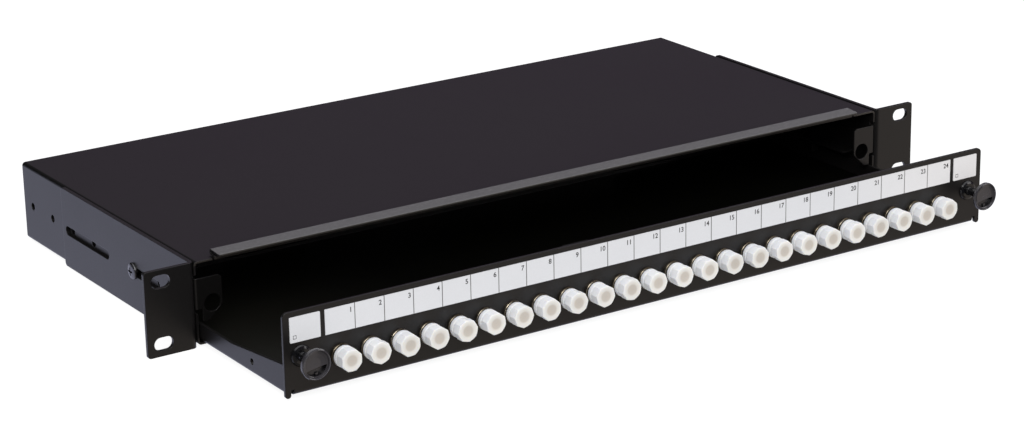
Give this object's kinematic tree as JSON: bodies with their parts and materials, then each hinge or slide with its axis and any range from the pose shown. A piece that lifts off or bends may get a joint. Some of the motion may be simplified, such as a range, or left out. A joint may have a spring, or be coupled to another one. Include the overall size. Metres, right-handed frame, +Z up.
{
  "type": "fibre termination box",
  "caption": "Rack-mount fibre termination box: sheet-steel case with adjustable ears and a sliding drawer whose front panel carries capped bayonet ports and a label strip.",
  "frame": {"origin": "centre of the four rack slots, on the front plane of the mounting ears", "axes": "+X right seen from the front, +Y to the rear (into the rack), +Z up"},
  "size_m": [0.4826, 0.319, 0.0472],
  "materials": {
    "black_powder_coat": "fine-texture black powder coat on folded steel sheet",
    "zinc_plated_steel": "bright zinc plate",
    "nickel_plated_brass": "thin nickel over brass, warm tint",
    "ceramic_sleeve": "ground zirconia",
    "white_cap": "soft off-white moulded plastic",
    "black_plastic": "moulded black nylon, satin",
    "black_rubber": "soft black rubber",
    "label_card": "white printed card strip",
    "slide_tape": "translucent low-friction tape"
  },
  "bodies": {
    "rack_brackets": {"mounting_bracket_left": "black_powder_coat", "mounting_bracket_right": "black_powder_coat"},
    "case": {"case_shell": "black_powder_coat", "rear_panel": "black_powder_coat", "rear_panel_screws": "zinc_plated_steel", "guide_rails": "black_powder_coat", "glide_strips": "slide_tape", "bracket_screws": "zinc_plated_steel", "gland_bodies": "black_plastic", "gland_locknuts": "black_plastic", "gland_seals": "black_rubber", "gland_dome_nuts": "black_plastic", "entry_grommets": "black_rubber", "earth_stud": "zinc_plated_steel", "earth_nuts": "zinc_plated_steel", "earth_washers": "zinc_plated_steel"},
    "drawer": {"drawer_tray": "black_powder_coat", "label_strip": "label_card", "end_labels": "label_card", "adapter_bodies": "nickel_plated_brass", "adapter_washers": "nickel_plated_brass", "adapter_nuts": "nickel_plated_brass", "adapter_sleeves": "ceramic_sleeve", "rear_dust_caps": "black_plastic", "latch_grommets": "black_plastic", "splice_cassette_base": "black_plastic", "splice_holders": "black_rubber", "cassette_studs": "zinc_plated_steel", "cassette_nuts": "black_plastic", "fibre_spools": "black_plastic", "spool_screws": "zinc_plated_steel", "tie_mounts": "black_plastic"},
    "cassette_lid": {"splice_cassette_lid": "black_plastic"},
    "latch_left": {"latch_plunger_left": "black_plastic"},
    "latch_right": {"latch_plunger_right": "black_plastic"},
    "port_cap_01": {"port_cap_01": "white_cap"},
    "port_cap_02": {"port_cap_02": "white_cap"},
    "port_cap_03": {"port_cap_03": "white_cap"},
    "port_cap_04": {"port_cap_04": "white_cap"},
    "port_cap_05": {"port_cap_05": "white_cap"},
    "port_cap_06": {"port_cap_06": "white_cap"},
    "port_cap_07": {"port_cap_07": "white_cap"},
    "port_cap_08": {"port_cap_08": "white_cap"},
    "port_cap_09": {"port_cap_09": "white_cap"},
    "port_cap_10": {"port_cap_10": "white_cap"},
    "port_cap_11": {"port_cap_11": "white_cap"},
    "port_cap_12": {"port_cap_12": "white_cap"},
    "port_cap_13": {"port_cap_13": "white_cap"},
    "port_cap_14": {"port_cap_14": "white_cap"},
    "port_cap_15": {"port_cap_15": "white_cap"},
    "port_cap_16": {"port_cap_16": "white_cap"},
    "port_cap_17": {"port_cap_17": "white_cap"},
    "port_cap_18": {"port_cap_18": "white_cap"},
    "port_cap_19": {"port_cap_19": "white_cap"},
    "port_cap_20": {"port_cap_20": "white_cap"},
    "port_cap_21": {"port_cap_21": "white_cap"},
    "port_cap_22": {"port_cap_22": "white_cap"},
    "port_cap_23": {"port_cap_23": "white_cap"},
    "port_cap_24": {"port_cap_24": "white_cap"}
  },
  "joints": [
    {"name": "case_setback", "type": "slide", "parent": "rack_brackets", "child": "case", "axis": [0, 1, 0], "range_m": [-0.026, 0]},
    {"name": "drawer_slide", "type": "slide", "parent": "case", "child": "drawer", "axis": [0, 1, 0], "range_m": [-0.05, 0.085]},
    {"name": "cassette_lid_hinge", "type": "hinge", "parent": "drawer", "child": "cassette_lid", "pos_m": [0, -0.0655, -0.00935], "axis": [-1, 0, 0], "range_deg": [-105, 0]},
    {"name": "latch_plunger_left", "type": "slide", "parent": "drawer", "child": "latch_left", "axis": [0, 1, 0], "range_m": [0, 0.0068]},
    {"name": "latch_plunger_right", "type": "slide", "parent": "drawer", "child": "latch_right", "axis": [0, 1, 0], "range_m": [0, 0.0068]},
    {"name": "port_cap_01_pull", "type": "slide", "parent": "drawer", "child": "port_cap_01", "axis": [0, 1, 0], "range_m": [-0.02, 0]},
    {"name": "port_cap_02_pull", "type": "slide", "parent": "drawer", "child": "port_cap_02", "axis": [0, 1, 0], "range_m": [-0.02, 0]},
    {"name": "port_cap_03_pull", "type": "slide", "parent": "drawer", "child": "port_cap_03", "axis": [0, 1, 0], "range_m": [-0.02, 0]},
    {"name": "port_cap_04_pull", "type": "slide", "parent": "drawer", "child": "port_cap_04", "axis": [0, 1, 0], "range_m": [-0.02, 0]},
    {"name": "port_cap_05_pull", "type": "slide", "parent": "drawer", "child": "port_cap_05", "axis": [0, 1, 0], "range_m": [-0.02, 0]},
    {"name": "port_cap_06_pull", "type": "slide", "parent": "drawer", "child": "port_cap_06", "axis": [0, 1, 0], "range_m": [-0.02, 0]},
    {"name": "port_cap_07_pull", "type": "slide", "parent": "drawer", "child": "port_cap_07", "axis": [0, 1, 0], "range_m": [-0.02, 0]},
    {"name": "port_cap_08_pull", "type": "slide", "parent": "drawer", "child": "port_cap_08", "axis": [0, 1, 0], "range_m": [-0.02, 0]},
    {"name": "port_cap_09_pull", "type": "slide", "parent": "drawer", "child": "port_cap_09", "axis": [0, 1, 0], "range_m": [-0.02, 0]},
    {"name": "port_cap_10_pull", "type": "slide", "parent": "drawer", "child": "port_cap_10", "axis": [0, 1, 0], "range_m": [-0.02, 0]},
    {"name": "port_cap_11_pull", "type": "slide", "parent": "drawer", "child": "port_cap_11", "axis": [0, 1, 0], "range_m": [-0.02, 0]},
    {"name": "port_cap_12_pull", "type": "slide", "parent": "drawer", "child": "port_cap_12", "axis": [0, 1, 0], "range_m": [-0.02, 0]},
    {"name": "port_cap_13_pull", "type": "slide", "parent": "drawer", "child": "port_cap_13", "axis": [0, 1, 0], "range_m": [-0.02, 0]},
    {"name": "port_cap_14_pull", "type": "slide", "parent": "drawer", "child": "port_cap_14", "axis": [0, 1, 0], "range_m": [-0.02, 0]},
    {"name": "port_cap_15_pull", "type": "slide", "parent": "drawer", "child": "port_cap_15", "axis": [0, 1, 0], "range_m": [-0.02, 0]},
    {"name": "port_cap_16_pull", "type": "slide", "parent": "drawer", "child": "port_cap_16", "axis": [0, 1, 0], "range_m": [-0.02, 0]},
    {"name": "port_cap_17_pull", "type": "slide", "parent": "drawer", "child": "port_cap_17", "axis": [0, 1, 0], "range_m": [-0.02, 0]},
    {"name": "port_cap_18_pull", "type": "slide", "parent": "drawer", "child": "port_cap_18", "axis": [0, 1, 0], "range_m": [-0.02, 0]},
    {"name": "port_cap_19_pull", "type": "slide", "parent": "drawer", "child": "port_cap_19", "axis": [0, 1, 0], "range_m": [-0.02, 0]},
    {"name": "port_cap_20_pull", "type": "slide", "parent": "drawer", "child": "port_cap_20", "axis": [0, 1, 0], "range_m": [-0.02, 0]},
    {"name": "port_cap_21_pull", "type": "slide", "parent": "drawer", "child": "port_cap_21", "axis": [0, 1, 0], "range_m": [-0.02, 0]},
    {"name": "port_cap_22_pull", "type": "slide", "parent": "drawer", "child": "port_cap_22", "axis": [0, 1, 0], "range_m": [-0.02, 0]},
    {"name": "port_cap_23_pull", "type": "slide", "parent": "drawer", "child": "port_cap_23", "axis": [0, 1, 0], "range_m": [-0.02, 0]},
    {"name": "port_cap_24_pull", "type": "slide", "parent": "drawer", "child": "port_cap_24", "axis": [0, 1, 0], "range_m": [-0.02, 0]}
  ]
}
